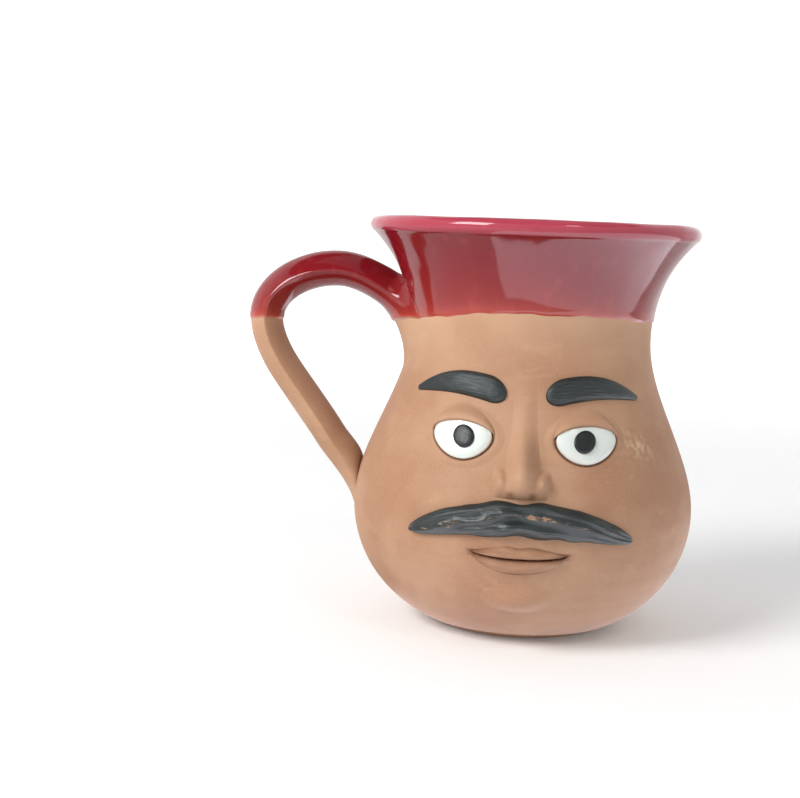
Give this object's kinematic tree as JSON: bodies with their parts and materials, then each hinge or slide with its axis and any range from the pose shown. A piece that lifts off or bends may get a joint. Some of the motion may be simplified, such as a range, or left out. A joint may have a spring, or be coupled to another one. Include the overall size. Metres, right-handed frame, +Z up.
{
  "type": "clay mug",
  "caption": "Round-bellied clay drinking mug with a flared rim, a dipped red glaze, a tall ear handle and a modelled face with brows, eyes, nose, moustache and lips.",
  "frame": {"origin": "centre of the flat foot, on the surface that the mug stands on", "axes": "+Z up along the axis of the mug, the face looks along -Y and the handle stands along -X"},
  "size_m": [0.1136, 0.0875, 0.1003],
  "materials": {
    "terracotta": "matte",
    "red_glaze": "gloss",
    "black_slip": "satin",
    "white_slip": "gloss"
  },
  "bodies": {
    "root": {"clay_pot": "terracotta", "clay_handle": "terracotta", "glaze_band": "red_glaze", "glaze_lining": "red_glaze", "glaze_handle": "red_glaze", "left_eyebrow": "black_slip", "right_eyebrow": "black_slip", "left_eye_white": "white_slip", "right_eye_white": "white_slip", "left_pupil": "black_slip", "right_pupil": "black_slip", "nose": "terracotta", "moustache": "black_slip", "upper_lip": "terracotta", "lower_lip": "terracotta", "chin_pad": "terracotta"}
  },
  "joints": []
}
